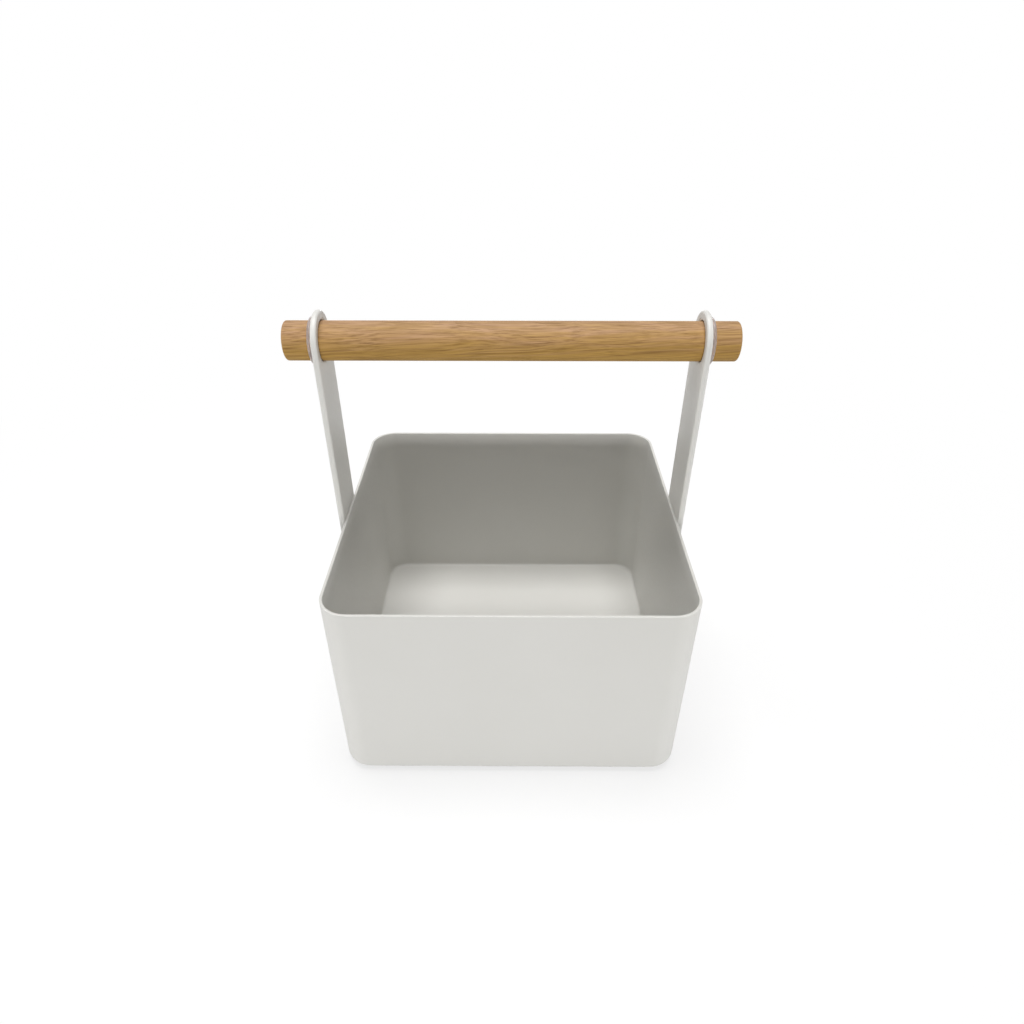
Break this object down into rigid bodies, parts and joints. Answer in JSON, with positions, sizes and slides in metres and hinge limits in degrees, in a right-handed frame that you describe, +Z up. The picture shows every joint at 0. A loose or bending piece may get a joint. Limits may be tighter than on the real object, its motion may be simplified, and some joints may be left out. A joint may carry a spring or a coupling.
{
  "type": "storage caddy",
  "caption": "Open square steel bin with flat side arms carrying a round wooden handle bar that turns, draws out sideways and can hold rolls, kept in place by clear stop rings.",
  "frame": {"origin": "middle of the footprint, on the plane that the feet stand on", "axes": "+X along the handle bar to the right as seen from the front, front of the bin towards -Y, +Z up"},
  "size_m": [0.1558, 0.13, 0.1605],
  "materials": {
    "powder_coat": "white powder coat, satin, very fine texture",
    "beech": "turned beech, oiled, fine flecks and streaks along the bar",
    "clear_silicone": "translucent silicone, smooth"
  },
  "bodies": {
    "frame": {"bin": "powder_coat", "left_arm": "powder_coat", "right_arm": "powder_coat", "front_left_foot": "clear_silicone", "front_right_foot": "clear_silicone", "back_left_foot": "clear_silicone", "back_right_foot": "clear_silicone"},
    "left_ring": {"left_stop_ring": "clear_silicone"},
    "bar": {"handle_bar": "beech"},
    "right_ring": {"right_stop_ring": "clear_silicone"}
  },
  "joints": [
    {"name": "bar_spin", "type": "hinge", "parent": "frame", "child": "left_ring", "pos_m": [0, 0, 0.1502], "axis": [1, 0, 0], "continuous": true},
    {"name": "bar_draw", "type": "slide", "parent": "left_ring", "child": "bar", "axis": [1, 0, 0], "range_m": [0, 0.15]},
    {"name": "right_ring_pull", "type": "slide", "parent": "bar", "child": "right_ring", "axis": [1, 0, 0], "range_m": [0, 0.014]}
  ]
}
